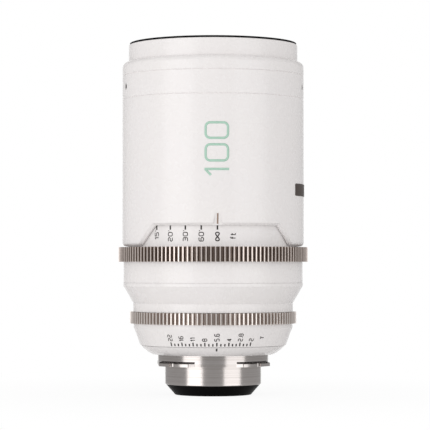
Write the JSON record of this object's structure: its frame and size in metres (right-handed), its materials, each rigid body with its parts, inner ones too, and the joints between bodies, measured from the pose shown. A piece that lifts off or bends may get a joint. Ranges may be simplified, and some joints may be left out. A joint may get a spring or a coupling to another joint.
{
  "type": "cinema prime lens",
  "caption": "Cinema prime lens with geared focus and aperture rings, cam-driven focus cell, working iris blades and a four-lobe bayonet mount.",
  "frame": {"origin": "centre of the bayonet mount's flange seat, on the lens axis", "axes": "+Z along the lens axis towards the front; -Y the side with the scales' index marks"},
  "size_m": [0.1064, 0.1064, 0.1973],
  "materials": {
    "white_paint": "satin off-white paint",
    "taupe_anodised": "satin taupe anodising",
    "mount_steel": "turned and polished stainless steel",
    "screw_steel": "plain",
    "dark_screw_steel": "blackened",
    "black_anodised": "matt black anodising",
    "plain_aluminium": "turned",
    "bronze": "turned bronze",
    "coated_glass": "polished, with a thin coating",
    "blade_steel": "blackened spring steel"
  },
  "bodies": {
    "lens_body": {"bayonet_mount": "mount_steel", "mount_shims": "screw_steel", "mount_screws": "screw_steel", "rear_baffle": "black_anodised", "rear_ring": "white_paint", "rear_cell": "black_anodised", "rear_inner_element": "coated_glass", "rear_middle_element": "coated_glass", "rear_outer_element": "coated_glass", "rear_spacers": "black_anodised", "rear_retainer": "black_anodised", "main_barrel": "black_anodised", "iris_base": "black_anodised", "iris_retainer": "black_anodised", "middle_barrel": "white_paint", "stop_screws": "screw_steel", "rear_thrust_washer": "bronze", "front_thrust_washer": "bronze", "front_cell": "black_anodised", "rear_cylinder_element": "coated_glass", "front_cylinder_element": "coated_glass", "front_element": "coated_glass", "front_spacers": "black_anodised", "front_retainer": "black_anodised", "front_housing": "white_paint", "housing_screws": "screw_steel", "clamp_ring": "white_paint", "clamp_screws": "dark_screw_steel", "shoulder_ring": "white_paint", "front_ring": "white_paint", "filter_ring": "black_anodised"},
    "focus": {"focus_ring": "white_paint", "focus_gear": "taupe_anodised", "focus_scale_ring": "white_paint", "focus_drive_screws": "screw_steel", "cam_barrel": "plain_aluminium"},
    "focus_carriage": {"focus_cell": "plain_aluminium", "focus_rear_element": "coated_glass", "focus_front_element": "coated_glass", "focus_spacer": "black_anodised", "focus_retainer": "black_anodised", "follower_pins": "screw_steel", "follower_rollers": "bronze"},
    "iris": {"iris_ring": "white_paint", "iris_gear": "taupe_anodised", "iris_drive_pin": "screw_steel", "iris_cam_ring": "plain_aluminium"},
    "blade_01": {"iris_blade_01": "blade_steel"},
    "blade_02": {"iris_blade_02": "blade_steel"},
    "blade_03": {"iris_blade_03": "blade_steel"},
    "blade_04": {"iris_blade_04": "blade_steel"},
    "blade_05": {"iris_blade_05": "blade_steel"},
    "blade_06": {"iris_blade_06": "blade_steel"},
    "blade_07": {"iris_blade_07": "blade_steel"},
    "blade_08": {"iris_blade_08": "blade_steel"},
    "blade_09": {"iris_blade_09": "blade_steel"},
    "blade_10": {"iris_blade_10": "blade_steel"}
  },
  "joints": [
    {"name": "focus_turn", "type": "hinge", "parent": "lens_body", "child": "focus", "pos_m": [0, 0, 0.062], "axis": [0, 0, 1], "range_deg": [0, 188]},
    {"name": "focus_slide", "type": "slide", "parent": "lens_body", "child": "focus_carriage", "axis": [0, 0, 1], "range_m": [0, 0.01033]},
    {"name": "iris_turn", "type": "hinge", "parent": "lens_body", "child": "iris", "pos_m": [0, 0, 0.0267], "axis": [0, 0, 1], "range_deg": [-27.9, 36.9]},
    {"name": "blade_01_swing", "type": "hinge", "parent": "lens_body", "child": "blade_01", "pos_m": [0, -0.031, 0.0225], "axis": [0, 0, 1], "range_deg": [-15.84, 20.94]},
    {"name": "blade_02_swing", "type": "hinge", "parent": "lens_body", "child": "blade_02", "pos_m": [0.01822, -0.02508, 0.0225], "axis": [0, 0, 1], "range_deg": [-15.84, 20.94]},
    {"name": "blade_03_swing", "type": "hinge", "parent": "lens_body", "child": "blade_03", "pos_m": [0.02948, -0.00958, 0.0225], "axis": [0, 0, 1], "range_deg": [-15.84, 20.94]},
    {"name": "blade_04_swing", "type": "hinge", "parent": "lens_body", "child": "blade_04", "pos_m": [0.02948, 0.00958, 0.0225], "axis": [0, 0, 1], "range_deg": [-15.84, 20.94]},
    {"name": "blade_05_swing", "type": "hinge", "parent": "lens_body", "child": "blade_05", "pos_m": [0.01822, 0.02508, 0.0225], "axis": [0, 0, 1], "range_deg": [-15.84, 20.94]},
    {"name": "blade_06_swing", "type": "hinge", "parent": "lens_body", "child": "blade_06", "pos_m": [0, 0.031, 0.0225], "axis": [0, 0, 1], "range_deg": [-15.84, 20.94]},
    {"name": "blade_07_swing", "type": "hinge", "parent": "lens_body", "child": "blade_07", "pos_m": [-0.01822, 0.02508, 0.0225], "axis": [0, 0, 1], "range_deg": [-15.84, 20.94]},
    {"name": "blade_08_swing", "type": "hinge", "parent": "lens_body", "child": "blade_08", "pos_m": [-0.02948, 0.00958, 0.0225], "axis": [0, 0, 1], "range_deg": [-15.84, 20.94]},
    {"name": "blade_09_swing", "type": "hinge", "parent": "lens_body", "child": "blade_09", "pos_m": [-0.02948, -0.00958, 0.0225], "axis": [0, 0, 1], "range_deg": [-15.84, 20.94]},
    {"name": "blade_10_swing", "type": "hinge", "parent": "lens_body", "child": "blade_10", "pos_m": [-0.01822, -0.02508, 0.0225], "axis": [0, 0, 1], "range_deg": [-15.84, 20.94]}
  ],
  "couplings": [
    {"joint": "focus_slide", "follows": "focus_turn", "m_per_rad": 0.0031481},
    {"joint": "blade_01_swing", "follows": "iris_turn", "ratio": 0.56729},
    {"joint": "blade_02_swing", "follows": "iris_turn", "ratio": 0.56729},
    {"joint": "blade_03_swing", "follows": "iris_turn", "ratio": 0.56729},
    {"joint": "blade_04_swing", "follows": "iris_turn", "ratio": 0.56729},
    {"joint": "blade_05_swing", "follows": "iris_turn", "ratio": 0.56729},
    {"joint": "blade_06_swing", "follows": "iris_turn", "ratio": 0.56729},
    {"joint": "blade_07_swing", "follows": "iris_turn", "ratio": 0.56729},
    {"joint": "blade_08_swing", "follows": "iris_turn", "ratio": 0.56729},
    {"joint": "blade_09_swing", "follows": "iris_turn", "ratio": 0.56729},
    {"joint": "blade_10_swing", "follows": "iris_turn", "ratio": 0.56729}
  ]
}
